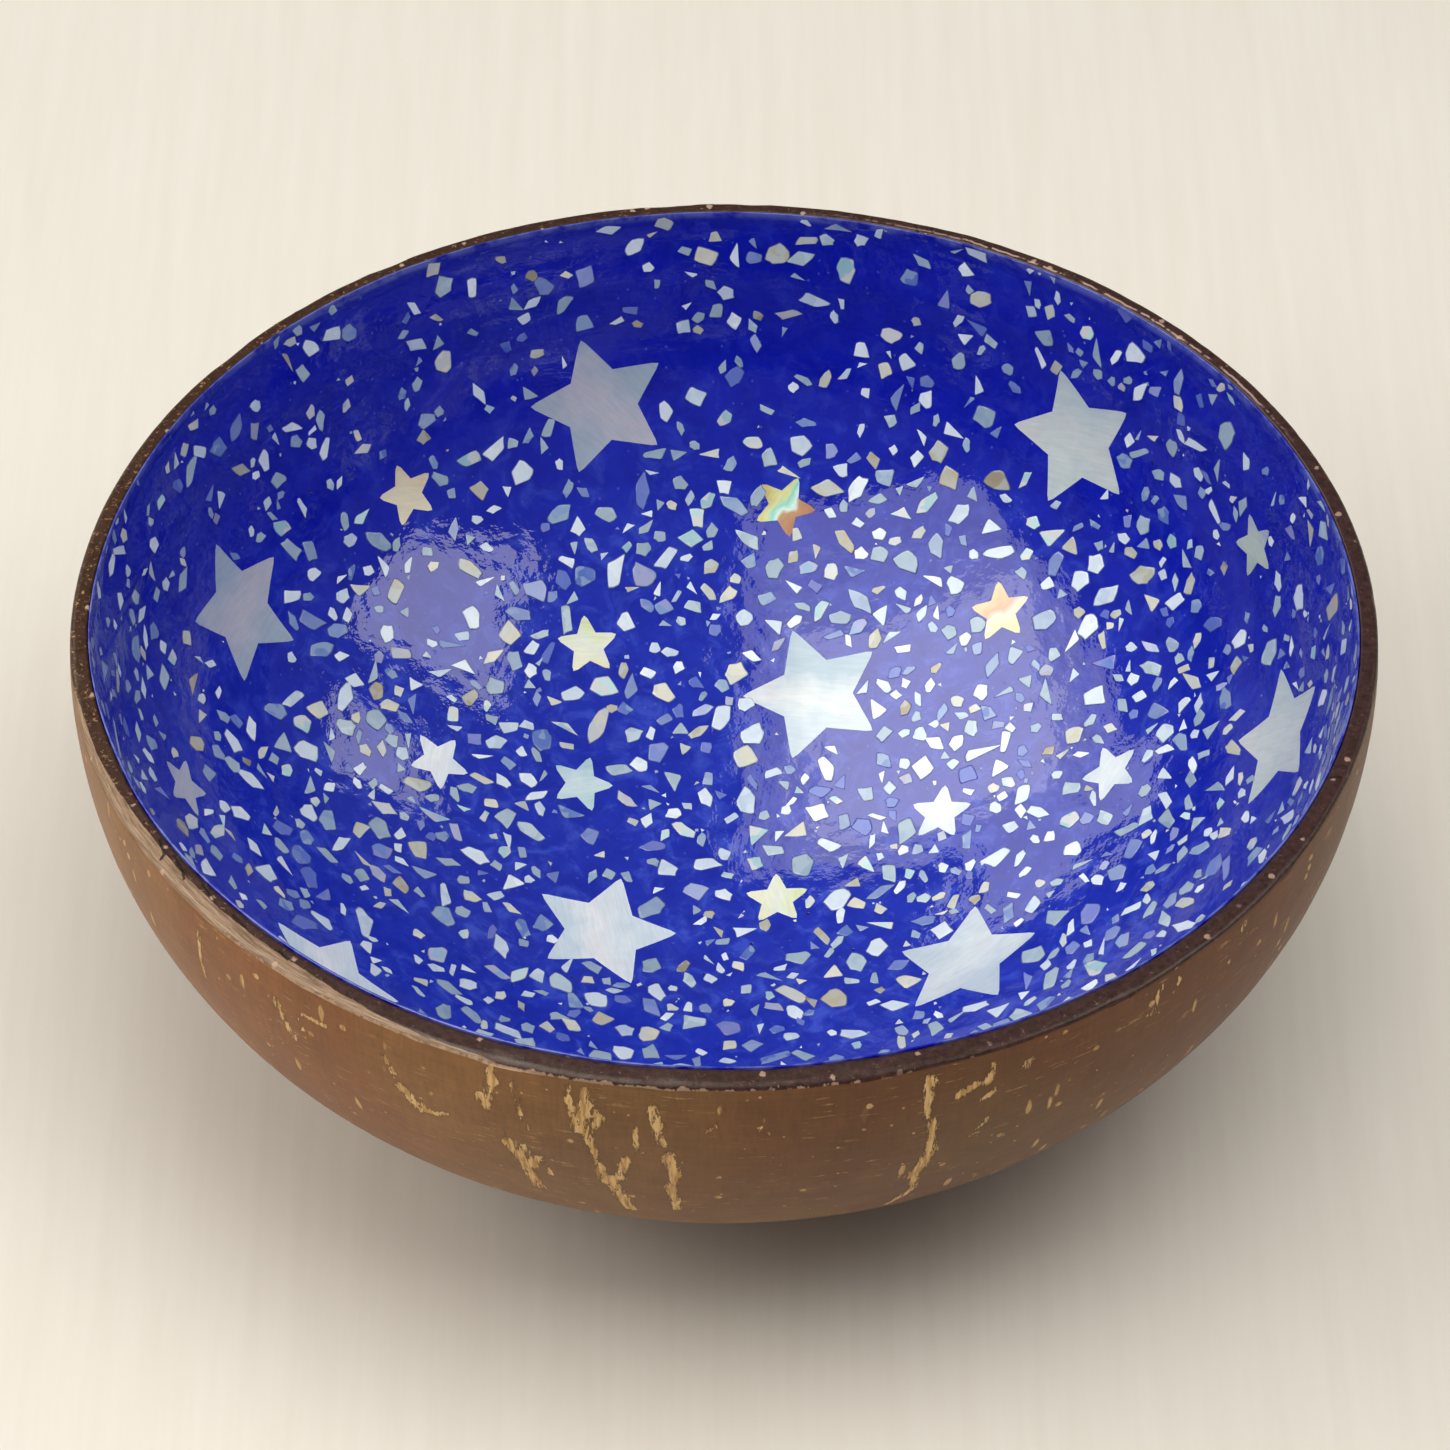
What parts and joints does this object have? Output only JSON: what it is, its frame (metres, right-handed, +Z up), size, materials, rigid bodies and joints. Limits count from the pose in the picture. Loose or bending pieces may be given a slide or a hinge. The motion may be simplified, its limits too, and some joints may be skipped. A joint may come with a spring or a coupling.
{
  "type": "coconut shell bowl",
  "caption": "Round bowl made from half a coconut shell, with a sanded flat foot, a glossy blue lacquer lining and inlaid pearl stars and shell chips.",
  "frame": {"origin": "centre of the underside of the sanded foot, on the surface that the bowl stands on", "axes": "+Z up through the mouth, -Y towards the front as pictured, +X to its right"},
  "size_m": [0.1332, 0.1332, 0.0533],
  "materials": {
    "coconut_shell": "satin, smoothed and oiled, with pale fibre flecks",
    "blue_lacquer": "high gloss, clear coated",
    "star_pearl": "mother of pearl, glossy",
    "chip_white": "broken shell under clear gloss",
    "chip_cream": "broken shell under clear gloss",
    "chip_tan": "broken shell under clear gloss",
    "chip_grey": "broken shell under clear gloss",
    "chip_slate": "broken shell sunk under blue tinted gloss",
    "chip_pearl": "iridescent shell under clear gloss"
  },
  "bodies": {
    "root": {"shell": "coconut_shell", "lining": "blue_lacquer", "star_large_1": "star_pearl", "star_large_2": "star_pearl", "star_large_3": "star_pearl", "star_large_4": "star_pearl", "star_large_5": "star_pearl", "star_large_6": "star_pearl", "star_large_7": "star_pearl", "star_large_8": "star_pearl", "star_large_9": "star_pearl", "star_large_10": "star_pearl", "star_large_11": "star_pearl", "star_large_12": "star_pearl", "star_small_1": "star_pearl", "star_small_2": "star_pearl", "star_small_3": "star_pearl", "star_small_4": "star_pearl", "star_small_5": "star_pearl", "star_small_6": "star_pearl", "star_small_7": "star_pearl", "star_small_8": "star_pearl", "star_small_9": "star_pearl", "star_small_10": "star_pearl", "star_small_11": "star_pearl", "star_small_12": "star_pearl", "star_small_13": "star_pearl", "star_small_14": "star_pearl", "star_small_15": "star_pearl", "star_small_16": "star_pearl", "star_small_17": "star_pearl", "chips_white": "chip_white", "chips_cream": "chip_cream", "chips_tan": "chip_tan", "chips_grey": "chip_grey", "chips_slate": "chip_slate", "chips_pearl": "chip_pearl"}
  },
  "joints": []
}
